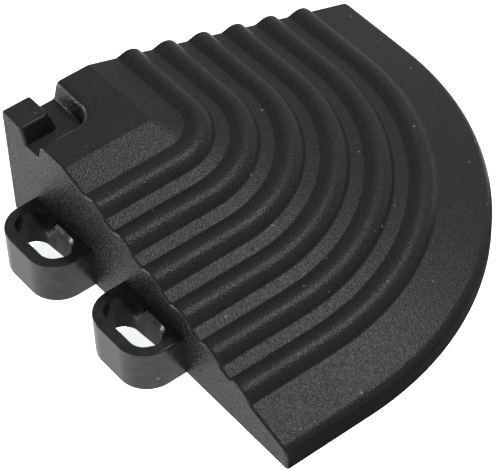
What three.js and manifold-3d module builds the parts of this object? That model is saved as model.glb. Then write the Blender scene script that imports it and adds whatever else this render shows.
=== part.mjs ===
// Quarter-round corner ramp that closes the edge of an interlocking modular floor.
// Millimetres, +Z up. The part is laid out from its square inner corner: side A runs along +X and carries
// the connector loops, side B runs along +Y and carries the snap pegs. The exported group moves the origin
// to the middle of the footprint, at floor level.

import * as THREE from "three";
import { mergeVertices } from "three/addons/utils/BufferGeometryUtils.js";
import Module from "manifold-3d";

// ---------------------------------------------------------------- driving dimensions

// Overall
const SIDE = 60; // length of each straight side
const HEIGHT = 18; // floor to landing plate, level with the floor tiles
const BEND = 13.6; // the bend's centre, from both side faces
const BEND_STEPS = 24; // facets round the bend

// Skin
const LANDING = 14.2; // landing plate, along each side
const SKIN = 2.2; // landing and deck, measured upright
const WALL = 1.8; // side walls
const LIP_HEIGHT = 3.25; // height that the deck's slope reaches at the outer edge
const LIP_FOOT = 3; // width of the rim that stands on the floor
const LIP_ROUND = 1.7; // radius of the outer top edge
const LIP_SKIN = 0.8; // least height left under the deck beside the rim
const SEAM = 0.05; // joint line between one moulded feature and the next

// Grip ribs
const RIB_COUNT = 6;
const RIB_START = 4.6; // landing's edge to the first rib
const RIB_GAP = 1.85; // plain deck between two ribs
const LIP_PLAIN = 7.35; // plain deck outside the last rib
const RIB_RISE = 1.05; // crest above the deck, measured upright
const CREST_PLACE = 0.465; // crest from the rib's inner foot, as a share of the rib's width
const CREST_ROUND = 0.512; // crest's radius, as a share of the rib's width
const RIB_FACETS = 6; // facets across a crest

// Corner lug and the channel round it
const LUG = 4.65; // lug at its top, along each side
const LUG_DRAFT = 0.75; // how much wider its foot is
const LUG_ROUND = 0.9;
const LUG_CHAMFER = 0.3;
const CHANNEL_WIDTH = 4.3; // from the lug to the channel's far edge, at the top
const CHANNEL_DEPTH = 2.65;
const CHANNEL_DRAFT = 0.75;
const CHANNEL_ROUND = 3;
const BRIM_ROUND = 0.8; // depth of the rounded edge at the top of the channel
const BRIM_STEPS = 3;
const CHANNEL_FLOOR = 2; // thickness under the channel
const CHANNEL_MARGIN = 2; // thick part of the landing outside the channel

// Connector loops on side A
const LOOP_COUNT = 2;
const LOOP_FIRST = 12.9; // inner corner to the middle of the first loop
const LOOP_PITCH = 20;
const LOOP_WIDTH = 13;
const LOOP_REACH = 7.35;
const LOOP_HEIGHT = 6.75;
const LOOP_ROUND = 4.4;
const LOOP_CHAMFER = 0.35;
const SLOT_LENGTH = 9.7;
const SLOT_WIDTH = 5;
const SLOT_BACK = 0.7; // web between the slot and the side wall
const WEB_LIFT = 2.2; // floor to the underside of that web, where a barb catches
const LEAD_IN = 0.45; // lead-in on the web's top edge
const LEAD_IN_DEPTH = 1.3;
const LEAD_IN_LENGTH = 5.6;

// Snap pegs on side B, and the pockets over a neighbour's loops
const PEG_CLEARANCE = 0.3; // between a peg and the slot that it enters
const PEG_TIP = 0.8; // tip above the floor
const PEG_CHAMFER = 0.6;
const BARB_REACH = 0.6;
const BARB_LENGTH = 4;
const POCKET_CLEARANCE = 0.4; // between a pocket and the loop in it
const FRAME_SIDE = 0.4; // least wall beside a pocket
const FRAME_TOP = 0.2; // least wall over a pocket

// Stiffening under the deck
const HUB_RADIUS = 3.8;
const WEB_COUNT = 5;
const WEB_THICKNESS = 1.4;
const WEB_LIFTED = 0.6; // webs and braces end above the floor
const POST_RADIUS = 2.4;
const POST_CIRCLE = 27; // radius of the posts' circle about the bend's centre
const ROUND_STEPS = 32; // facets round a post or a slot

// ---------------------------------------------------------------- sizes that follow

const slope = (HEIGHT - LIP_HEIGHT) / (SIDE - LANDING);
const deckTop = (out) => HEIGHT - slope * (out - LANDING);
const rimInside = SIDE - LIP_FOOT;
const rimUnder = Math.max(deckTop(rimInside) - SKIN, LIP_SKIN);
const channelEdge = LUG + CHANNEL_WIDTH;
const channelFloor = HEIGHT - CHANNEL_DEPTH;
const thickEdge = Math.min(channelEdge + CHANNEL_MARGIN, LANDING - SEAM);
const thickUnder = channelFloor - CHANNEL_FLOOR;
const webSpacing = Math.PI / 2 / (WEB_COUNT - 1);
const websPart = WEB_THICKNESS / 2 / Math.tan(webSpacing / 2); // from the bend's centre
const hubFace = Math.max(HUB_RADIUS, websPart) + SEAM; // where webs and braces stop
const slotMiddle = SLOT_BACK + SLOT_WIDTH / 2; // from the joint face, on both sides of a joint
const pocketTop = LOOP_HEIGHT + POCKET_CLEARANCE;
const loopPlaces = Array.from({ length: LOOP_COUNT }, (_, i) => LOOP_FIRST + i * LOOP_PITCH);
const over = HEIGHT + 10; // clear above the part
const past = SIDE + 10; // clear outside its rim
const before = -1; // clear outside its side faces, or under the floor

// ---------------------------------------------------------------- solids and booleans

const manifold = await Module();
manifold.setup();

function toSolid(geometry) {
  const bare = geometry.index ? geometry.toNonIndexed() : geometry.clone();
  bare.deleteAttribute("normal");
  bare.deleteAttribute("uv");
  const merged = mergeVertices(bare, 1e-4);
  return new manifold.Manifold(
    new manifold.Mesh({
      numProp: 3,
      vertProperties: merged.attributes.position.array,
      triVerts: new Uint32Array(merged.index.array),
    }),
  );
}

function toGeometry(solid) {
  const mesh = solid.getMesh();
  const geometry = new THREE.BufferGeometry();
  geometry.setAttribute("position", new THREE.BufferAttribute(mesh.vertProperties, 3));
  geometry.setIndex(new THREE.BufferAttribute(mesh.triVerts, 1));
  geometry.computeVertexNormals();
  return geometry;
}

function block([x0, x1], [y0, y1], [z0, z1]) {
  const box = new THREE.BoxGeometry(x1 - x0, y1 - y0, z1 - z0);
  return toSolid(box.translate((x0 + x1) / 2, (y0 + y1) / 2, (z0 + z1) / 2));
}

// A solid laid out for side A, turned over the diagonal to the same place on side B.
function onSideB(solid) {
  const swap = new THREE.Matrix4().set(0, 1, 0, 0, 1, 0, 0, 0, 0, 0, 1, 0, 0, 0, 0, 1);
  return solid.transform(swap.elements);
}

// A cross-section of points [distance from the side face, height], carried along side B, round the bend
// and back along side A. Each facet of the bend is flat, and neighbours share the same facets.
function carryRound(points) {
  const last = BEND_STEPS + 2;
  const section = new THREE.Shape(points.map(([out, up]) => new THREE.Vector2(out, up)));
  const geometry = new THREE.ExtrudeGeometry(section, { depth: last, steps: last, bevelEnabled: false });
  const position = geometry.attributes.position;
  for (let i = 0; i < position.count; i++) {
    const station = Math.round(position.getZ(i));
    const turned = THREE.MathUtils.clamp(station - 1, 0, BEND_STEPS) / BEND_STEPS;
    const angle = (Math.PI / 2) * (1 - turned);
    const out = position.getX(i) - BEND;
    const x = station === 0 ? 0 : BEND + out * Math.cos(angle);
    const y = station === last ? 0 : BEND + out * Math.sin(angle);
    position.setXYZ(i, x, y, position.getY(i));
  }
  return toSolid(geometry);
}

// A square from the inner corner out to size, with its far corner rounded.
function cornerSquare(size, round, start = 0) {
  const square = new THREE.Shape();
  square.moveTo(start, start);
  square.lineTo(size, start);
  square.lineTo(size, size - round);
  square.absarc(size - round, size - round, round, 0, Math.PI / 2);
  square.lineTo(start, size);
  square.closePath();
  return square;
}

// A corner square raised through levels of [height, growth]. It grows away from the inner corner, so the
// two faces in the corner stay where they are.
function raiseSquare(square, size, levels) {
  const steps = levels.length - 1;
  const geometry = new THREE.ExtrudeGeometry(square, { depth: steps, steps, bevelEnabled: false });
  const position = geometry.attributes.position;
  for (let i = 0; i < position.count; i++) {
    const [height, growth] = levels[Math.round(position.getZ(i))];
    const scale = (size + growth) / size;
    position.setXYZ(i, position.getX(i) * scale, position.getY(i) * scale, height);
  }
  return toSolid(geometry);
}

// A stadium outline about (middle, across), its length along X.
function stadium(middle, across, length, width) {
  const outline = new THREE.Shape();
  const round = width / 2;
  const straight = length / 2 - round;
  outline.absarc(middle + straight, across, round, -Math.PI / 2, Math.PI / 2);
  outline.absarc(middle - straight, across, round, Math.PI / 2, (3 * Math.PI) / 2);
  outline.closePath();
  return outline;
}

// ---------------------------------------------------------------- deck, ribs and landing

function deck() {
  const fall = Math.atan(slope);
  const centreOut = SIDE - LIP_ROUND;
  const centreUp = deckTop(centreOut) - LIP_ROUND / Math.cos(fall);
  const roundSteps = 3;
  const lipEdge = Array.from({ length: roundSteps + 1 }, (_, i) => {
    const angle = (Math.PI / 2 - fall) * (1 - i / roundSteps);
    return [centreOut + LIP_ROUND * Math.cos(angle), centreUp + LIP_ROUND * Math.sin(angle)];
  });
  return carryRound([
    [LANDING, HEIGHT],
    ...lipEdge,
    [SIDE, 0],
    [rimInside, 0],
    [rimInside, rimUnder],
    [LANDING, HEIGHT - SKIN],
  ]);
}

// A bull-nosed rib: a round crest, nearer the landing, that a flat back and a steeper nose run off to the
// deck. Seen from the crest's centre, a flank touches the crest at its own turn from upright.
function gripRib(index) {
  const first = LANDING + RIB_START;
  const pitch = (SIDE - LIP_PLAIN - first + RIB_GAP) / RIB_COUNT;
  const width = pitch - RIB_GAP;
  const start = first + index * pitch;
  const end = start + width;
  const crest = start + CREST_PLACE * width;
  const radius = CREST_ROUND * width;
  const centreUp = deckTop(crest) + RIB_RISE - radius;
  const touch = (out) => {
    const across = out - crest;
    const up = deckTop(out) + SEAM - centreUp;
    const lean = Math.acos(radius / Math.hypot(across, up));
    return Math.atan2(across, up) - Math.sign(across) * lean;
  };
  const points = [[start, deckTop(start) + SEAM]];
  for (let i = 0; i <= RIB_FACETS; i++) {
    const turn = THREE.MathUtils.lerp(touch(start), touch(end), i / RIB_FACETS);
    points.push([crest + radius * Math.sin(turn), centreUp + radius * Math.cos(turn)]);
  }
  points.push([end, deckTop(end) + SEAM]);
  return carryRound(points);
}

function landing() {
  const edge = LANDING - SEAM;
  const plan = cornerSquare(edge, Math.max(edge - BEND, 0.1));
  const plate = new THREE.ExtrudeGeometry(plan, { depth: SKIN, bevelEnabled: false });
  plate.translate(0, 0, HEIGHT - SKIN);
  const thick = block([0, thickEdge], [0, thickEdge], [thickUnder, HEIGHT - SKIN / 2]);
  const foot = channelEdge - CHANNEL_DRAFT;
  const brim = Array.from({ length: BRIM_STEPS + 1 }, (_, i) => {
    const turn = ((i / BRIM_STEPS) * Math.PI) / 2;
    return [HEIGHT - BRIM_ROUND * (1 - Math.sin(turn)), CHANNEL_DRAFT * (1 - Math.cos(turn))];
  });
  const levels = [[channelFloor, 0], ...brim, [over, CHANNEL_DRAFT]];
  const channel = raiseSquare(cornerSquare(foot, CHANNEL_ROUND, before), foot, levels);
  return toSolid(plate).add(thick).subtract(channel);
}

function cornerLug() {
  const chamferFoot = HEIGHT - LUG_CHAMFER;
  return raiseSquare(cornerSquare(LUG, LUG_ROUND), LUG, [
    [channelFloor, LUG_DRAFT],
    [chamferFoot, (LUG_DRAFT * LUG_CHAMFER) / CHANNEL_DEPTH],
    [HEIGHT, -LUG_CHAMFER / 2],
  ]);
}

// ---------------------------------------------------------------- connector loops and snap pegs

function connectorLoop(middle) {
  const half = LOOP_WIDTH / 2;
  const outline = new THREE.Shape();
  outline.moveTo(middle - half, LOOP_CHAMFER * 2);
  outline.lineTo(middle - half, LOOP_ROUND - LOOP_REACH);
  outline.absarc(middle - half + LOOP_ROUND, LOOP_ROUND - LOOP_REACH, LOOP_ROUND, Math.PI, 1.5 * Math.PI);
  outline.absarc(middle + half - LOOP_ROUND, LOOP_ROUND - LOOP_REACH, LOOP_ROUND, 1.5 * Math.PI, 2 * Math.PI);
  outline.lineTo(middle + half, LOOP_CHAMFER * 2);
  outline.closePath();
  const body = new THREE.ExtrudeGeometry(outline, {
    depth: LOOP_HEIGHT,
    bevelThickness: LOOP_CHAMFER,
    bevelSize: LOOP_CHAMFER,
    bevelOffset: -LOOP_CHAMFER,
    bevelSegments: 1,
  });
  body.translate(0, 0, -LOOP_CHAMFER);
  const kept = block([middle - LOOP_WIDTH, middle + LOOP_WIDTH], [-past, 0], [0, over]);
  const slot = new THREE.ExtrudeGeometry(stadium(middle, -slotMiddle, SLOT_LENGTH, SLOT_WIDTH), {
    depth: 2 * over,
    bevelEnabled: false,
    curveSegments: ROUND_STEPS / 2,
  });
  slot.translate(0, 0, -over);
  const straight = (SLOT_LENGTH - SLOT_WIDTH) / 2;
  const underWeb = block([middle - straight, middle + straight], [-slotMiddle, SEAM], [before, WEB_LIFT]);
  return toSolid(body).intersect(kept).subtract(toSolid(slot)).subtract(underWeb).subtract(leadIn(middle));
}

// The wedge that is cut from the web's top edge, at the end of the slot away from the inner corner.
function leadIn(middle) {
  const wedge = new THREE.Shape();
  wedge.moveTo(-SLOT_BACK - LEAD_IN, LOOP_HEIGHT - 2 * LEAD_IN_DEPTH);
  wedge.lineTo(-SLOT_BACK + LEAD_IN, LOOP_HEIGHT);
  wedge.lineTo(-SLOT_BACK + LEAD_IN, over);
  wedge.lineTo(-SLOT_BACK - LEAD_IN, over);
  wedge.closePath();
  const geometry = new THREE.ExtrudeGeometry(wedge, { depth: LEAD_IN_LENGTH, bevelEnabled: false });
  geometry.applyMatrix4(new THREE.Matrix4().set(0, 0, 1, 0, 1, 0, 0, 0, 0, 1, 0, 0, 0, 0, 0, 1));
  return toSolid(geometry.translate(middle + SLOT_LENGTH / 2 - SLOT_WIDTH / 4 - LEAD_IN_LENGTH, 0, 0));
}

// A peg hangs from the deck into the slot of a neighbour's loop; its barb catches under that loop's web.
// It is laid out on side A, inside the joint face.
function snapPeg(middle) {
  const length = SLOT_LENGTH - 2 * PEG_CLEARANCE;
  const width = SLOT_WIDTH - 2 * PEG_CLEARANCE;
  const stem = new THREE.ExtrudeGeometry(stadium(middle, slotMiddle, length, width), {
    depth: HEIGHT,
    bevelThickness: PEG_CHAMFER,
    bevelSize: PEG_CHAMFER,
    bevelOffset: -PEG_CHAMFER,
    bevelSegments: 1,
    curveSegments: ROUND_STEPS / 4,
  });
  stem.translate(0, 0, PEG_TIP + PEG_CHAMFER);
  const face = slotMiddle - width / 2;
  const barbTop = WEB_LIFT - PEG_CLEARANCE;
  const hook = new THREE.Shape();
  hook.moveTo(face + 2 * PEG_CHAMFER, PEG_TIP);
  hook.lineTo(face + 2 * PEG_CHAMFER, barbTop);
  hook.lineTo(face - BARB_REACH, barbTop);
  hook.lineTo(face, PEG_TIP);
  hook.closePath();
  const barb = new THREE.ExtrudeGeometry(hook, { depth: BARB_LENGTH, bevelEnabled: false });
  barb.applyMatrix4(new THREE.Matrix4().set(0, 0, 1, 0, 1, 0, 0, 0, 0, 1, 0, 0, 0, 0, 0, 1));
  barb.translate(middle - BARB_LENGTH / 2, 0, 0);
  const wallOver = block([middle - length, middle + length], [before, WALL + SEAM], [pocketTop - SEAM, over]);
  return toSolid(stem).add(toSolid(barb)).subtract(wallOver);
}

// The room that a neighbour's loop takes under the deck, laid out on side A.
function pocket(middle) {
  const half = LOOP_WIDTH / 2 + POCKET_CLEARANCE;
  return block([middle - half, middle + half], [before, LOOP_REACH + POCKET_CLEARANCE], [before, pocketTop]);
}

// The wall that stays round a pocket, however low the deck is there.
function pocketFrame(middle, seam) {
  const half = LOOP_WIDTH / 2 + POCKET_CLEARANCE + FRAME_SIDE + seam;
  return block([middle - half, middle + half], [-seam, WALL + seam], [0, pocketTop + FRAME_TOP + seam]);
}

// ---------------------------------------------------------------- features under the deck

// What the landing, the deck and the rim take up, and all that lies outside them, grown by the seam.
function coverSolid() {
  const inside = rimInside - SEAM;
  const overDeck = carryRound([
    [LANDING - SEAM, over],
    [past, over],
    [past, before],
    [inside, before],
    [inside, rimUnder - SEAM],
    [LANDING - SEAM, HEIGHT - SKIN - SEAM],
  ]);
  const overLanding = block([before, LANDING], [before, LANDING], [HEIGHT - SKIN - SEAM, over]);
  const thick = thickEdge + SEAM;
  return overDeck.add(overLanding).add(block([before, thick], [before, thick], [thickUnder - SEAM, over]));
}

const cover = coverSolid();
const joined = (solids) => solids.reduce((all, one) => all.add(one));
const pockets = joined(loopPlaces.map((middle) => onSideB(pocket(middle))));
const frames = joined(loopPlaces.map((middle) => onSideB(pocketFrame(middle, 0))));
const roomForFrames = joined(loopPlaces.map((middle) => onSideB(pocketFrame(middle, SEAM))));
const underDeck = (solid) => solid.subtract(cover).subtract(pockets);

function upright(x, y, radius) {
  const cylinder = new THREE.CylinderGeometry(radius, radius, HEIGHT, ROUND_STEPS);
  return toSolid(cylinder.rotateX(Math.PI / 2).translate(x, y, HEIGHT / 2));
}

function radialWeb(angle) {
  const length = SIDE - BEND;
  const plate = new THREE.BoxGeometry(length, WEB_THICKNESS, HEIGHT);
  plate.translate(hubFace + length / 2, 0, WEB_LIFTED + HEIGHT / 2);
  return underDeck(toSolid(plate.rotateZ(angle).translate(BEND, BEND, 0)));
}

function supportPost(angle) {
  const x = BEND + POST_CIRCLE * Math.cos(angle);
  const y = BEND + POST_CIRCLE * Math.sin(angle);
  return underDeck(upright(x, y, POST_RADIUS));
}

// A brace runs inward behind each loop or peg, to the hub or to the first radial web.
function brace(middle, start) {
  const half = WEB_THICKNESS / 2;
  const reachesHub = middle - half < BEND + hubFace;
  const end = BEND - (reachesHub ? hubFace : half + SEAM);
  return block([middle - half, middle + half], [start, end], [WEB_LIFTED, HEIGHT]);
}

// ---------------------------------------------------------------- the part

const FINISHES = {
  skin: { color: 0x26282a, roughness: 0.6, metalness: 0 },
  ribs: { color: 0x2c2e30, roughness: 0.7, metalness: 0 },
  joints: { color: 0x1b1c1e, roughness: 0.35, metalness: 0 },
  inside: { color: 0x222426, roughness: 0.6, metalness: 0 },
};
const part = new THREE.Group();
const middleOfFootprint = new THREE.Vector3(SIDE / 2, (SIDE - LOOP_REACH) / 2, 0);
part.position.copy(middleOfFootprint).negate();

function addFeature(name, solid, finish) {
  const mesh = new THREE.Mesh(toGeometry(solid), new THREE.MeshStandardMaterial(finish));
  mesh.name = name;
  part.add(mesh);
}

addFeature("landing_plate", landing(), FINISHES.skin);
addFeature("corner_lug", cornerLug(), FINISHES.skin);
addFeature("ramp_deck", deck().subtract(pockets).subtract(roomForFrames), FINISHES.skin);
for (let i = 0; i < RIB_COUNT; i++) {
  addFeature(`grip_rib_${i + 1}`, gripRib(i), FINISHES.ribs);
}

const wallA = block([0, SIDE], [0, WALL], [0, HEIGHT]);
const wallB = block([0, WALL], [WALL, SIDE], [0, HEIGHT]);
addFeature("loop_side_wall", underDeck(wallA), FINISHES.skin);
addFeature("peg_side_wall", underDeck(wallB).add(frames).subtract(pockets), FINISHES.skin);

loopPlaces.forEach((middle, i) => {
  addFeature(`connector_loop_${i + 1}`, connectorLoop(middle), FINISHES.joints);
  addFeature(`snap_peg_${i + 1}`, onSideB(snapPeg(middle)).subtract(cover), FINISHES.joints);
  const behindWall = WALL + SEAM;
  const behindPeg = slotMiddle + SLOT_WIDTH / 2 - PEG_CLEARANCE + SEAM;
  addFeature(`loop_brace_${i + 1}`, underDeck(brace(middle, behindWall)), FINISHES.inside);
  addFeature(`peg_brace_${i + 1}`, underDeck(onSideB(brace(middle, behindPeg))), FINISHES.inside);
});

addFeature("hub_post", underDeck(upright(BEND, BEND, HUB_RADIUS)), FINISHES.inside);
for (let i = 0; i < WEB_COUNT; i++) {
  addFeature(`radial_web_${i + 1}`, radialWeb(i * webSpacing), FINISHES.inside);
  if (i < WEB_COUNT - 1) {
    addFeature(`support_post_${i + 1}`, supportPost((i + 0.5) * webSpacing), FINISHES.inside);
  }
}

export default part;
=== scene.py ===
import math

import bmesh
import bpy
from mathutils import Matrix, Vector


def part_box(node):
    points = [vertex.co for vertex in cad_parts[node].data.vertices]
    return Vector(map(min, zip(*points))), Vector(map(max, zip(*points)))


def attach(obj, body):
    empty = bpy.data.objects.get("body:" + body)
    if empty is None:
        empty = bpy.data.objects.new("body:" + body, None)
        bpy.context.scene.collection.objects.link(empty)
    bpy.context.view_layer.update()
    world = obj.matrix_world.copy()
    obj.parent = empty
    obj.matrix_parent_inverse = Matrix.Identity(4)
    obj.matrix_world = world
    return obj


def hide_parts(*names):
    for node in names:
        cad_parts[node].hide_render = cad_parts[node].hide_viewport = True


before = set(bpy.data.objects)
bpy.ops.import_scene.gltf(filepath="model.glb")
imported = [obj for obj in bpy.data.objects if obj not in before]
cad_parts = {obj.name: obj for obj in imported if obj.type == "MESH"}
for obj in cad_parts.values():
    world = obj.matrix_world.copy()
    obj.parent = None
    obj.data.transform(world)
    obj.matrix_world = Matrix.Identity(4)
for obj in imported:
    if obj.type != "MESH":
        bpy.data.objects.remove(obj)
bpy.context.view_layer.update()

# ---------------------------------------------------------------------------------------------
# Landing plate. The flat square at the inner corner that lies level with the floor tiles, with a
# channel sunk into it round the corner lug. Injection-moulded in one shot with the rest of the
# ramp in black polypropylene; its top is left satin, without the grain of the slope.

MM = 0.001
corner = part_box("corner_lug")[0]

HEIGHT = 18
SIDE = 60
BEND = 13.6  # the bend's centre, from both side faces
LANDING = 14.2
SKIN = 2.2
LIP_HEIGHT = 3.25  # height that the slope reaches at the outer edge
FALL = math.atan2(HEIGHT - LIP_HEIGHT, SIDE - LANDING)
CREASE_ROUND = 2.0
EDGE_ROUND = 0.4
EDGE_STEPS = 5
RUN_STEPS = 4
BEND_STEPS = 56
CHANNEL_FLOOR = 15.35
CHANNEL_FOOT = 8.2
CHANNEL_TOP = 8.95
CHANNEL_FOOT_ROUND = 0.45
CHANNEL_BRIM_ROUND = 0.9
CHANNEL_CENTRE = 5.95  # centre of the channel's inner corner
LUG_SEAT = 4.0
LUG_SEAT_CENTRE = 3.1
BLOCK_EDGE = 10.95  # edge of the thick part under the channel
BLOCK_CENTRE = 9.5
BLOCK_UNDER = 13.35
DUST_APART = 2.4
DUST_SIZE = 0.22
DUST_SHARE = 0.3
DUST_TONE = (0.5, 0.5, 0.47, 1)
CLOUD_SIZE = 6
CLOUDED = 0.12  # how far the tone drifts from place to place


def from_corner(x, y, z):
    """Millimetres from the square inner corner at floor level, as a place in the frame."""
    return (corner.x + x * MM, corner.y + y * MM, z * MM)


def solid(name, points, faces, crease=38):
    """A closed piece from points in millimetres, smooth but for edges sharper than the crease."""
    mesh = bpy.data.meshes.new(name)
    mesh.from_pydata([from_corner(*p) for p in points], [], faces)
    shape = bmesh.new()
    shape.from_mesh(mesh)
    bmesh.ops.remove_doubles(shape, verts=shape.verts, dist=0.0005 * MM)
    bmesh.ops.recalc_face_normals(shape, faces=shape.faces)
    shape.to_mesh(mesh)
    shape.free()
    mesh.shade_smooth()
    mesh.set_sharp_from_angle(angle=math.radians(crease))
    piece = bpy.data.objects.new(name, mesh)
    bpy.context.scene.collection.objects.link(piece)
    flats = piece.modifiers.new("flat faces stay flat", "WEIGHTED_NORMAL")
    flats.keep_sharp = True
    flats.weight = 80
    return piece


def rounded_line(corners, steps=6):
    """Points (out, up, lean out, lean up) along a section whose corners (out, up, radius) are
    rounded. The lean is the way that the surface faces there."""
    line = []
    for i, (out, up, radius) in enumerate(corners):
        here = Vector((out, up))
        before = (here - Vector(corners[i - 1][:2])).normalized() if i else None
        after = (Vector(corners[i + 1][:2]) - here).normalized() if i + 1 < len(corners) else None
        first = Vector((-before.y, before.x)) if before else Vector((-after.y, after.x))
        last = Vector((-after.y, after.x)) if after else first
        if radius == 0:
            mitre = (first + last) / (1 + first.dot(last))
            line.append((out, up, mitre.x, mitre.y))
            continue
        turn = math.atan2(before.x * after.y - before.y * after.x, before.dot(after))
        side = -1 if turn < 0 else 1
        start = here - before * radius * math.tan(abs(turn) / 2)
        centre = start + first * radius * side
        for k in range(steps + 1):
            angle = turn * k / steps
            lean = Vector((
                first.x * math.cos(angle) - first.y * math.sin(angle),
                first.x * math.sin(angle) + first.y * math.cos(angle),
            ))
            spot = centre - lean * radius * side
            line.append((spot.x, spot.y, lean.x, lean.y))
    return line


def round_the_corner(point, centre):
    """One line of the skin, from side B round the bend to side A. Over the last EDGE_ROUND before
    a side face the line sinks along its lean, which rounds that edge over."""
    out, up, lean_out, lean_up = point
    run = []
    for i in range(EDGE_STEPS + 1):
        turn = math.pi / 2 * i / EDGE_STEPS
        sunk = EDGE_ROUND * (1 - math.sin(turn))
        run.append((EDGE_ROUND * (1 - math.cos(turn)), out - sunk * lean_out, up - sunk * lean_up))
    for i in range(1, RUN_STEPS):
        run.append((EDGE_ROUND + (centre - EDGE_ROUND) * i / RUN_STEPS, out, up))
    arc = []
    for i in range(BEND_STEPS + 1):
        turn = math.pi / 2 * i / BEND_STEPS
        reach = out - centre
        arc.append((centre + reach * math.sin(turn), centre + reach * math.cos(turn), up))
    return run + arc + [(far, along, z) for along, far, z in reversed(run)]


def swept(name, section, centres, crease=38):
    """A closed section carried round the corner, with a flat end on each side face."""
    lines = [round_the_corner(point, centre) for point, centre in zip(section, centres)]
    count, length = len(lines), len(lines[0])
    points = [p for line in lines for p in line]
    faces = []
    for i in range(count):
        here, next_one = i * length, (i + 1) % count * length
        for j in range(length - 1):
            faces.append((here + j, here + j + 1, next_one + j + 1, next_one + j))
    faces.append(tuple(i * length for i in range(count)))
    faces.append(tuple(i * length + length - 1 for i in reversed(range(count))))
    return solid(name, points, faces, crease)


def black_plastic(name, tone, shine, grain, depth, gloss=1.5, peak_glint=0.1):
    """Moulded black plastic. grain is the size of the mould's spark-eroded pits in millimetres and
    depth how deep they show. shine is the roughness, gloss the index of refraction, and the last
    argument how much paler and more specular the peaks between the pits are: the paler colour is
    painted glint speckle, the higher specular level is real. A few grains of dust lie on it."""
    material = bpy.data.materials.new(name)
    material.use_nodes = True
    tree = material.node_tree
    tree.nodes.clear()

    def node(kind, **settings):
        made = tree.nodes.new(kind)
        for key, value in settings.items():
            setattr(made, key, value)
        return made

    def link(source, socket, target, into):
        tree.links.new(source.outputs[socket], target.inputs[into])

    output = node("ShaderNodeOutputMaterial")
    surface = node("ShaderNodeBsdfPrincipled")
    surface.inputs["IOR"].default_value = gloss
    surface.inputs["Metallic"].default_value = 0
    place = node("ShaderNodeTexCoord")

    pits = node("ShaderNodeTexNoise")
    pits.inputs["Scale"].default_value = 1 / (grain * MM)
    pits.inputs["Detail"].default_value = 0
    crystals = node("ShaderNodeTexVoronoi", feature="SMOOTH_F1")
    crystals.inputs["Scale"].default_value = 0.8 / (grain * MM)
    crystals.inputs["Smoothness"].default_value = 0.6
    height = node("ShaderNodeMath", operation="ADD")
    bump = node("ShaderNodeBump")
    bump.inputs["Strength"].default_value = 1
    bump.inputs["Distance"].default_value = depth * MM
    link(place, "Object", pits, "Vector")
    link(place, "Object", crystals, "Vector")
    link(pits, "Fac", height, 0)
    link(crystals, "Distance", height, 1)
    link(height, 0, bump, "Height")
    link(bump, "Normal", surface, "Normal")

    clouds = node("ShaderNodeTexNoise")
    clouds.inputs["Scale"].default_value = 1 / (CLOUD_SIZE * MM)
    clouds.inputs["Detail"].default_value = 5
    colour = node("ShaderNodeValToRGB")
    colour.color_ramp.elements[0].position = 0.3
    colour.color_ramp.elements[1].position = 0.7
    colour.color_ramp.elements[0].color = (*[c * (1 - CLOUDED) for c in tone], 1)
    colour.color_ramp.elements[1].color = (*[c * (1 + CLOUDED) for c in tone], 1)
    # The peaks between the pits get a paler base colour, which is painted glint speckle, and a higher
    # specular level below.
    peaks = node("ShaderNodeMapRange")
    peaks.inputs["From Min"].default_value = 0.3
    peaks.inputs["From Max"].default_value = 0.7
    peaks.inputs["To Min"].default_value = 1 - peak_glint
    peaks.inputs["To Max"].default_value = 1 + peak_glint
    shade = node("ShaderNodeVectorMath", operation="SCALE")
    specks = node("ShaderNodeTexVoronoi")
    specks.inputs["Scale"].default_value = 1 / (DUST_APART * MM)
    spread = node("ShaderNodeMapRange")
    spread.inputs["From Min"].default_value = DUST_SIZE / DUST_APART
    spread.inputs["From Max"].default_value = 0
    which = node("ShaderNodeSeparateColor")
    some = node("ShaderNodeMath", operation="GREATER_THAN")
    some.inputs[1].default_value = 1 - DUST_SHARE
    dust = node("ShaderNodeMath", operation="MULTIPLY")
    dusted = node("ShaderNodeMix", data_type="RGBA")
    dusted.inputs["B"].default_value = DUST_TONE
    glint = node("ShaderNodeMath", operation="MULTIPLY")
    glint.inputs[1].default_value = 0.5
    link(place, "Object", clouds, "Vector")
    link(clouds, "Fac", colour, "Fac")
    link(pits, "Fac", peaks, "Value")
    link(colour, "Color", shade, 0)
    link(peaks, "Result", shade, "Scale")
    link(place, "Object", specks, "Vector")
    link(specks, "Distance", spread, "Value")
    link(specks, "Color", which, "Color")
    link(which, "Red", some, 0)
    link(spread, "Result", dust, 0)
    link(some, 0, dust, 1)
    link(dust, 0, dusted, "Factor")
    link(shade, "Vector", dusted, "A")
    link(dusted, "Result", surface, "Base Color")
    link(peaks, "Result", glint, 0)
    link(glint, 0, surface, "Specular IOR Level")

    polish = node("ShaderNodeMapRange")
    polish.inputs["From Min"].default_value = 0.3
    polish.inputs["From Max"].default_value = 0.7
    polish.inputs["To Min"].default_value = shine * 0.85
    polish.inputs["To Max"].default_value = shine * 1.15
    link(pits, "Fac", polish, "Value")
    link(polish, "Result", surface, "Roughness")
    link(surface, "BSDF", output, "Surface")
    return material


def finish(piece, top):
    """Gives a piece its surface, and its flat faces on sides A and B the finish of those sides."""
    piece.data.materials.append(top)
    piece.data.materials.append(wall_grain)
    for face in piece.data.polygons:
        edge = min(face.center.x - corner.x, face.center.y - corner.y)
        face.material_index = int(edge < 0.01 * MM and abs(face.normal.z) < 0.1)


# The side faces' grain peaks are painted much paler, as glint speckle.
wall_grain = black_plastic(
    "side_black_polypropylene", (0.0117, 0.0127, 0.0130), 0.42, 0.24, 0.060, gloss=1.42, peak_glint=0.6
)
satin = black_plastic("satin_black_polypropylene", (0.0160, 0.0174, 0.0180), 0.34, 0.5, 0.004)

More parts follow.
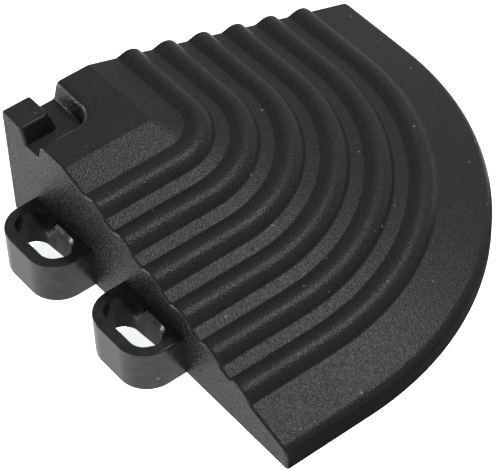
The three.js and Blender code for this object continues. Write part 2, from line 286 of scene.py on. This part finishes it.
crease_edge = LANDING - CREASE_ROUND * math.tan(FALL / 2)
well = rounded_line([
    (LUG_SEAT, CHANNEL_FLOOR, 0),
    (CHANNEL_FOOT, CHANNEL_FLOOR, CHANNEL_FOOT_ROUND),
    (CHANNEL_TOP, HEIGHT, CHANNEL_BRIM_ROUND),
    (crease_edge, HEIGHT, 0),
])
under = [(crease_edge, HEIGHT - SKIN, 0, 0), (BLOCK_EDGE, HEIGHT - SKIN, 0, 0),
         (BLOCK_EDGE, BLOCK_UNDER, 0, 0), (LUG_SEAT, BLOCK_UNDER, 0, 0)]
well[-1] = (crease_edge, HEIGHT, 0, 1)
channel_centres = [CHANNEL_CENTRE] * (len(well) - 2)
centres = [LUG_SEAT_CENTRE, *channel_centres, BEND, BEND, BLOCK_CENTRE, BLOCK_CENTRE, LUG_SEAT_CENTRE]
landing = swept("landing_plate_top", well + under, centres)
finish(landing, satin)
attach(landing, "root")
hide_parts("landing_plate")

# ---------------------------------------------------------------------------------------------
# Corner lug. A small block in the very corner, level with the landing, which keys between the
# neighbouring tiles. Moulded with the plate; its corners are rounded where the tool was radiused.

LUG = 4.65
LUG_FOOT = 5.35
LUG_INNER_ROUND = 0.9
LUG_SIDE_ROUND = 0.45
LUG_TOP_ROUND = 0.35
UPRIGHT_ROUND = 0.5
ARC_STEPS = 7
TOP_STEPS = 5
SEAT_ROUND = 0.2  # side corners of the part of the lug that goes down into the landing

grained = black_plastic(
    "grained_black_polypropylene", (0.0100, 0.0110, 0.0110), 0.38, 0.2, 0.034, peak_glint=0.2
)


def rounded_outline(low, high, radii, z):
    """A square outline at one height; radii start at the inner corner of the part and go round."""
    outline = []
    spots = [(low, low), (high, low), (high, high), (low, high)]
    for i, ((x, y), radius) in enumerate(zip(spots, radii)):
        centre_x = x + radius if x == low else x - radius
        centre_y = y + radius if y == low else y - radius
        for k in range(ARC_STEPS + 1):
            angle = math.pi + math.pi / 2 * (i + k / ARC_STEPS)
            outline.append((centre_x + radius * math.cos(angle), centre_y + radius * math.sin(angle), z))
    return outline


def lofted(name, outlines, crease=38):
    """A closed piece through outlines with as many points each, from the bottom to the top."""
    length = len(outlines[0])
    points = [p for outline in outlines for p in outline]
    faces = [tuple(reversed(range(length)))]
    for i in range(len(outlines) - 1):
        lower, upper = i * length, (i + 1) * length
        for j in range(length):
            after = (j + 1) % length
            faces.append((lower + j, lower + after, upper + after, upper + j))
    faces.append(tuple(range((len(outlines) - 1) * length, len(outlines) * length)))
    return solid(name, points, faces, crease)


seat_radii = (UPRIGHT_ROUND, SEAT_ROUND, LUG_SEAT - LUG_SEAT_CENTRE, SEAT_ROUND)
lug_radii = (UPRIGHT_ROUND, LUG_SIDE_ROUND, LUG_INNER_ROUND, LUG_SIDE_ROUND)
levels = [
    rounded_outline(0, LUG_SEAT, seat_radii, BLOCK_UNDER),
    rounded_outline(0, LUG_SEAT, seat_radii, CHANNEL_FLOOR - EDGE_ROUND),
    rounded_outline(0, LUG_FOOT, lug_radii, CHANNEL_FLOOR - EDGE_ROUND),
    rounded_outline(0, LUG_FOOT, lug_radii, CHANNEL_FLOOR),
]
for k in range(TOP_STEPS + 1):
    turn = math.pi / 2 * k / TOP_STEPS
    inset = LUG_TOP_ROUND * (1 - math.cos(turn))
    radii = [max(radius - inset, 0.05) for radius in lug_radii]
    level = HEIGHT - LUG_TOP_ROUND * (1 - math.sin(turn))
    levels.append(rounded_outline(inset, LUG - inset, radii, level))
lug = lofted("corner_lug_block", levels)
finish(lug, satin)
for piece in (landing, lug):
    piece.data.materials.append(grained)
    for face in piece.data.polygons:
        upright = abs(face.normal.z) < 0.6 and face.center.z > CHANNEL_FLOOR * MM
        if face.material_index == 0 and upright:
            face.material_index = 2
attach(lug, "root")
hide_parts("corner_lug")

# ---------------------------------------------------------------------------------------------
# Ramp deck. The sloping skin that falls from the landing to a thin rim on the floor, one quarter
# turn round. Moulded with a coarse spark-eroded grain that gives shoes and wheels some hold.

LIP_ROUND = 1.7
RIM_INSIDE = 57
RIM_UNDER = 2.0

slope_line = rounded_line([
    (crease_edge - 1, HEIGHT, 0),
    (LANDING, HEIGHT, CREASE_ROUND),
    (SIDE, LIP_HEIGHT, LIP_ROUND),
    (SIDE, 0, 0),
])[1:]
slope_line[-1] = (SIDE, 0, 1, 0)
inside = [(RIM_INSIDE, 0, 0, 0), (RIM_INSIDE, RIM_UNDER, 0, 0), (crease_edge, HEIGHT - SKIN, 0, 0)]
deck_section = slope_line + inside
deck = swept("ramp_deck_skin", deck_section, [BEND] * len(deck_section))
finish(deck, grained)
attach(deck, "root")
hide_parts("ramp_deck")

# ---------------------------------------------------------------------------------------------
# Grip ribs. Six bull-nosed ribs that follow the bend, flat at the back and steep at the nose, so
# that a foot or a wheel bites going up. They are part of the moulding and blend into the deck.

RIB_COUNT = 6
RIB_FIRST = 18.8
RIB_PITCH = 5.95
RIB_WIDTH = 4.1
RIB_BACK = math.radians(14.8)
RIB_NOSE = math.radians(62)
CREST_ROUND = 2.4
FOOT_ROUND = 0.45


def deck_top(out):
    return HEIGHT - math.tan(FALL) * (out - LANDING)


for i in range(RIB_COUNT):
    start = RIB_FIRST + i * RIB_PITCH
    end = start + RIB_WIDTH
    drop = deck_top(start) - deck_top(end)
    apex = (RIB_WIDTH * math.tan(RIB_NOSE) - drop) / (math.tan(RIB_BACK) + math.tan(RIB_NOSE))
    profile = rounded_line([
        (start - 1, deck_top(start - 1), 0),
        (start, deck_top(start), FOOT_ROUND),
        (start + apex, deck_top(start) + apex * math.tan(RIB_BACK), CREST_ROUND),
        (end, deck_top(end), FOOT_ROUND),
        (end + 1, deck_top(end + 1), 0),
    ], steps=9)[1:-1]
    rib = swept(f"grip_rib_{i + 1}_nose", profile, [BEND] * len(profile), crease=60)
    finish(rib, grained)
    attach(rib, "root")
    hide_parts(f"grip_rib_{i + 1}")

# ---------------------------------------------------------------------------------------------
# Side walls. Two upright walls of the same black plastic, moulded with the skin, close the ramp
# where it meets a tile or the next edging: side A carries the loops, and side B has two notches
# that fit over a neighbour's loops.

WALL = 1.8
LOOP_FIRST = 12.9
LOOP_PITCH = 20
LOOP_PLACES = (LOOP_FIRST, LOOP_FIRST + LOOP_PITCH)
LOOP_HALF = 6.5
LOOP_HEIGHT = 6.75
NOTCH_CLEARANCE = 0.4  # between a notch and the loop in it
NOTCH_TOP = LOOP_HEIGHT + NOTCH_CLEARANCE
NOTCH_HALF = LOOP_HALF + NOTCH_CLEARANCE


def side_wall(name, outline, side_b=False):
    """An upright wall, from its outline (along, up) on the side face. Where the outline reaches
    the corner of the part, at zero, that upright edge is rounded."""
    lines = []
    for i in range(ARC_STEPS + 2):
        turn = math.pi / 2 * min(i, ARC_STEPS) / ARC_STEPS
        deep = WALL if i > ARC_STEPS else UPRIGHT_ROUND * (1 - math.cos(turn))
        pulled = UPRIGHT_ROUND * (1 - math.sin(turn))
        line = [(pulled if along == 0 else along, deep, up) for along, up in outline]
        lines.append([(y, x, z) for x, y, z in line] if side_b else line)
    return lofted(name, lines)


underside = [
    (RIM_INSIDE, 0),
    (RIM_INSIDE, RIM_UNDER),
    (crease_edge, HEIGHT - SKIN),
    (BLOCK_EDGE, HEIGHT - SKIN),
    (BLOCK_EDGE, BLOCK_UNDER),
]
notches = []
for middle in LOOP_PLACES:
    left, right = middle - NOTCH_HALF, middle + NOTCH_HALF
    notches += [(left, 0), (left, NOTCH_TOP), (right, NOTCH_TOP), (right, 0)]
loop_wall_outline = [(0, 0), *underside, (0, BLOCK_UNDER)]
peg_wall_outline = [(WALL, 0), *notches, *underside, (WALL, BLOCK_UNDER)]
loop_wall = side_wall("loop_side_wall_face", loop_wall_outline)
peg_wall = side_wall("peg_side_wall_face", peg_wall_outline, side_b=True)
for wall, node in ((loop_wall, "loop_side_wall"), (peg_wall, "peg_side_wall")):
    wall.data.materials.append(wall_grain)
    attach(wall, "root")
    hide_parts(node)

# ---------------------------------------------------------------------------------------------
# Connector loops. Two flat loops stand out of side A at floor level; the next tile's pegs drop
# into their slots. They come off polished faces of the tool, so they are smooth and glossy.

LOOP_REACH = 7.35
LOOP_ROUND = 4.4
LOOP_ROOT = 0.4  # how far the loop goes into the side wall
LOOP_BEVEL = 0.22
BEVEL_STEPS = 3
LOOP_FOOT = 0.15  # broken edge at the floor
SLOT_FRONT = 5.7
SLOT_BACK = 1.2
SLOT_HALF = 4.85
SLOT_ROUND = (SLOT_FRONT - SLOT_BACK) / 2
SLOT_STRAIGHT = SLOT_HALF - SLOT_ROUND
SLOT_MIDDLE = (SLOT_FRONT + SLOT_BACK) / 2
LEAD_IN = 0.4  # how far the slot's mouth is widened for a peg
LEAD_DROP = 0.5
LATCH_END = -0.75  # where the lead-in begins, from the loop's middle
WEB_LIFT = (1.05, 2.0)  # height of the web's lower edge, where a barb catches, at its two ends
WEB_ENDS = (-4, 3)
UNDERCUT = 1.2
TURN_SHARE = 0.3  # how gently the lead-in and the undercut fade out round the slot's ends
SPAN = 14  # points along a straight; a bend has twice as many

polished = black_plastic(
    "polished_black_polypropylene", (0.0135, 0.0148, 0.017), 0.25, 0.9, 0.003, gloss=1.54
)


def loop_outline(middle, inset, z):
    """The loop's outside, beginning inside the side wall and going round by its free end."""
    half, reach, radius = LOOP_HALF - inset, LOOP_REACH - inset, LOOP_ROUND - inset
    inner_x, inner_y = LOOP_HALF - LOOP_ROUND, LOOP_ROUND - LOOP_REACH
    line = [(-half, LOOP_ROOT + (inner_y - LOOP_ROOT) * k / SPAN) for k in range(SPAN)]
    for k in range(2 * SPAN):
        angle = math.pi + math.pi / 2 * k / (2 * SPAN)
        line.append((-inner_x + radius * math.cos(angle), inner_y + radius * math.sin(angle)))
    line += [(-inner_x + 2 * inner_x * k / SPAN, -reach) for k in range(SPAN)]
    for k in range(2 * SPAN):
        angle = 1.5 * math.pi + math.pi / 2 * k / (2 * SPAN)
        line.append((inner_x + radius * math.cos(angle), inner_y + radius * math.sin(angle)))
    line += [(half, inner_y + (LOOP_ROOT - inner_y) * k / SPAN) for k in range(SPAN)]
    line += [(half - 2 * half * k / (2 * SPAN), LOOP_ROOT) for k in range(2 * SPAN)]
    return [(middle + x, y, z) for x, y in line]


def slot_outline(middle, z, lead=0.0, undercut=0.0):
    """The slot, point for point inside the loop's outline. lead widens it round its back from the
    latch to the free end. undercut clears its foot, where z rises along the web for a barb."""
    line = []
    for quarter, count, x in ((1, SPAN, -SLOT_STRAIGHT), (2, 2 * SPAN, -SLOT_STRAIGHT)):
        line += [(x, math.pi / 2 * (quarter + k / count), 0) for k in range(count)]
    line += [(-SLOT_STRAIGHT + 2 * SLOT_STRAIGHT * k / SPAN, 1.5 * math.pi, 0) for k in range(SPAN)]
    for quarter, count in ((3, 2 * SPAN), (4, SPAN)):
        line += [(SLOT_STRAIGHT, math.pi / 2 * (quarter + k / count), 1) for k in range(count)]
    free, held = LATCH_END - SLOT_STRAIGHT, -SLOT_STRAIGHT - LATCH_END
    line += [(SLOT_STRAIGHT + free * k / (SPAN - 1), 2.5 * math.pi, 1) for k in range(SPAN)]
    line += [(LATCH_END + held * k / SPAN, 2.5 * math.pi, 0) for k in range(SPAN)]
    outline = []
    for x, angle, led in line:
        behind = min(max((math.sin(angle) + TURN_SHARE) / (2 * TURN_SHARE), 0), 1)
        radius = SLOT_ROUND + lead * behind * led + undercut * behind
        along = x + radius * math.cos(angle)
        rise = min(max((along - WEB_ENDS[0]) / (WEB_ENDS[1] - WEB_ENDS[0]), 0), 1)
        level = z if z is not None else WEB_LIFT[0] + (WEB_LIFT[1] - WEB_LIFT[0]) * rise
        outline.append((middle + along, -SLOT_MIDDLE + radius * math.sin(angle), level))
    return outline


def ring(name, outlines):
    """A closed band through outlines that come back to the first one, like a ring's section."""
    length = len(outlines[0])
    points = [p for outline in outlines for p in outline]
    faces = []
    for i in range(len(outlines)):
        here, next_one = i * length, (i + 1) % len(outlines) * length
        for j in range(length):
            after = (j + 1) % length
            faces.append((here + j, here + after, next_one + after, next_one + j))
    return solid(name, points, faces)


for i, middle in enumerate(LOOP_PLACES):
    outlines = [loop_outline(middle, LOOP_FOOT, 0), loop_outline(middle, 0, LOOP_FOOT)]
    for k in range(BEVEL_STEPS + 1):
        turn = math.pi / 2 * k / BEVEL_STEPS
        level = LOOP_HEIGHT - LOOP_BEVEL * (1 - math.sin(turn))
        outlines.append(loop_outline(middle, LOOP_BEVEL * (1 - math.cos(turn)), level))
    outlines += [
        slot_outline(middle, LOOP_HEIGHT, lead=LEAD_IN),
        slot_outline(middle, LOOP_HEIGHT - LEAD_DROP),
        slot_outline(middle, None),
        slot_outline(middle, 0, undercut=UNDERCUT),
    ]
    loop = ring(f"connector_loop_{i + 1}_ring", outlines)
    loop.data.materials.append(polished)
    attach(loop, "root")
    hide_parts(f"connector_loop_{i + 1}")

# ---------------------------------------------------------------------------------------------
# Snap pegs. Two pegs moulded to the underside of the deck behind side B, which catch under the
# web of a neighbour's loop with a small barb. Smooth black plastic with broken edges.

PEG_EDGE = 0.15


def eased(node, width, material):
    """Rounds the moulded edges of a piece that keeps its own shape, and gives it its finish."""
    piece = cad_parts[node]
    weld = piece.modifiers.new("joined faces", "WELD")
    weld.merge_threshold = 0.001 * MM
    bevel = piece.modifiers.new("moulded edges", "BEVEL")
    bevel.width = width * MM
    bevel.segments = 2
    bevel.limit_method = "ANGLE"
    bevel.angle_limit = math.radians(40)
    last_weld = piece.modifiers.new("joined edges", "WELD")
    last_weld.merge_threshold = 0.001 * MM
    piece.data.materials.clear()
    piece.data.materials.append(material)


for i in range(len(LOOP_PLACES)):
    eased(f"snap_peg_{i + 1}", PEG_EDGE, polished)

# ---------------------------------------------------------------------------------------------
# Stiffening under the deck. A hub under the landing, five webs that fan out from it, four posts
# that stand on the floor between them, and a brace behind every loop and peg. All of it is moulded
# in, plain from the core of the tool, where the plastic looks a little paler.

CORE_EDGE = 0.12

core = black_plastic("core_side_black_polypropylene", (0.020, 0.021, 0.022), 0.36, 0.6, 0.006)

stiffeners = ["hub_post"]
stiffeners += [f"radial_web_{i + 1}" for i in range(5)]
stiffeners += [f"support_post_{i + 1}" for i in range(4)]
stiffeners += [f"{kind}_brace_{i + 1}" for kind in ("loop", "peg") for i in range(2)]
for node in stiffeners:
    eased(node, CORE_EDGE, core)

# ---------------------------------------------------------------------------------------------
# The table and its light. The part lies on a white sheet, between a soft box low on the left and
# one overhead. A lit table top, darker cards painted as the floor's shadow on the right and at the
# far side, and painted shade in the slots show only in the plastic's reflections, where they draw
# its edges. Under each slot the camera sees a dimmer patch of the floor, painted as shadow there.

PAPER_ROUGHNESS = 0.8
COOL_WHITE = (0.96, 0.985, 1, 1)
SKY_WHITE = (0.93, 0.975, 1, 1)
WIDE = 3000
SHADE_HALF = 5


def flat_sheet(name, corners, level, tone, glow, seen=False):
    """A flat sheet under the part. A seen one shows to the camera alone; the others only light the
    plastic and show in its reflections."""
    mesh = bpy.data.meshes.new(name)
    mesh.from_pydata([from_corner(x, y, level) for x, y in corners], [], [tuple(range(len(corners)))])
    sheet = bpy.data.objects.new(name, mesh)
    bpy.context.scene.collection.objects.link(sheet)
    material = bpy.data.materials.new(name)
    material.use_nodes = True
    paint = material.node_tree.nodes["Principled BSDF"]
    paint.inputs["Base Color"].default_value = (tone, tone, tone, 1)
    paint.inputs["Roughness"].default_value = PAPER_ROUGHNESS
    paint.inputs["Emission Color"].default_value = COOL_WHITE
    paint.inputs["Emission Strength"].default_value = glow
    mesh.materials.append(material)
    sheet.visible_camera = seen
    for ray in ("diffuse", "glossy", "transmission", "shadow"):
        setattr(sheet, f"visible_{ray}", not seen)


wide = [(-WIDE, -WIDE), (WIDE, -WIDE), (WIDE, WIDE), (-WIDE, WIDE)]
right_shadow_outline = [(59.7, 0.1), (400, -60), (400, 400), (150, 400), (30, 30)]
far_shadow_outline = [(-400, 62), (0, 60.3), (28, 60), (150, 400), (-400, 400)]
flat_sheet("white_sheet", wide, level=-0.3, tone=0.8, glow=1.2, seen=True)
flat_sheet("table_top", wide, level=-0.05, tone=0.5, glow=0.97)
# Painted shadow: a dark card, seen only in reflections, stands for the floor in the part's shadow on the
# right.
flat_sheet("right_floor_shadow", right_shadow_outline, level=-0.02, tone=0.3, glow=0)
# Painted shadow: a dimly glowing card, seen only in reflections, stands for the shaded floor at the far
# side.
flat_sheet("far_floor_shadow", far_shadow_outline, level=-0.02, tone=0.3, glow=0.35)
for i, middle in enumerate(LOOP_PLACES):
    left, right = middle - SHADE_HALF, middle + SHADE_HALF
    hole = [(left, -6), (right, -6), (right, LOOP_ROOT), (left, LOOP_ROOT)]
    flat_sheet(f"slot_shade_{i + 1}", hole, level=-0.02, tone=0.2, glow=0.25)
    # Painted shadow: the camera sees a dimmer patch of floor under each slot, standing for the shadow
    # there.
    flat_sheet(f"slot_floor_shadow_{i + 1}", hole, level=-0.2, tone=0.1, glow=0.78, seen=True)

# The room is dim on the left and paler on the right, with a soft window behind on the left.
surround = bpy.data.worlds.new("studio")
surround.use_nodes = True
room = surround.node_tree
view_of_room = room.nodes.new("ShaderNodeTexCoord")
brightness = room.nodes.new("ShaderNodeMath")
for i, (toward, start, end, dark, light) in enumerate((
    (Vector((1, 0, 0.3)), -0.9, 0.3, 0.16, 0.40),
    (Vector((-0.60, 0.70, 0.45)), 0.7, 1, 0, 0.24),
)):
    facing = room.nodes.new("ShaderNodeVectorMath")
    facing.operation = "DOT_PRODUCT"
    facing.inputs[1].default_value = toward.normalized()
    level = room.nodes.new("ShaderNodeMapRange")
    level.inputs["From Min"].default_value = start
    level.inputs["From Max"].default_value = end
    level.inputs["To Min"].default_value = dark
    level.inputs["To Max"].default_value = light
    room.links.new(view_of_room.outputs["Generated"], facing.inputs[0])
    room.links.new(facing.outputs["Value"], level.inputs["Value"])
    room.links.new(level.outputs["Result"], brightness.inputs[i])
room.links.new(brightness.outputs["Value"], room.nodes["Background"].inputs["Strength"])
room.nodes["Background"].inputs["Color"].default_value = SKY_WHITE
bpy.context.scene.world = surround
bpy.context.scene.view_settings.view_transform = "Standard"


def soft_box(name, direction, distance, size, power):
    light = bpy.data.lights.new(name, "AREA")
    light.shape = "SQUARE"
    light.size = size
    light.energy = power
    lamp = bpy.data.objects.new(name, light)
    lamp.location = Vector(direction).normalized() * distance
    lamp.rotation_euler = lamp.location.to_track_quat("Z", "Y").to_euler()
    bpy.context.scene.collection.objects.link(lamp)


soft_box("left_soft_box", (-0.76, -0.61, 0.13), 0.7, 0.2, 1.45)
soft_box("overhead_soft_box", (0.05, 0.41, 0.91), 0.6, 0.12, 0.72)

# ---------------------------------------------------------------------------------------------
# The camera. A long lens on the side of the loops, which looks down on the slope with side A
# towards it and the lug at the left.

AZIMUTH = 53.605
ELEVATION = 46.462
ROLL = -2.635
DISTANCE = 332.8
AIM = (25.38, 21.41, 0)
FOCAL_LENGTH = 176.5

lens = bpy.data.cameras.new("camera")
lens.lens = FOCAL_LENGTH
lens.sensor_width = 36
lens.clip_start = 0.01
camera = bpy.data.objects.new("camera", lens)
turned = (
    Matrix.Rotation(math.radians(AZIMUTH), 4, "Z")
    @ Matrix.Rotation(math.radians(90 - ELEVATION), 4, "X")
    @ Matrix.Rotation(math.radians(ROLL), 4, "Z")
)
aim = Vector(from_corner(*AIM))
camera.matrix_world = Matrix.Translation(aim + turned.col[2].to_3d() * DISTANCE * MM) @ turned
bpy.context.scene.collection.objects.link(camera)
bpy.context.scene.camera = camera
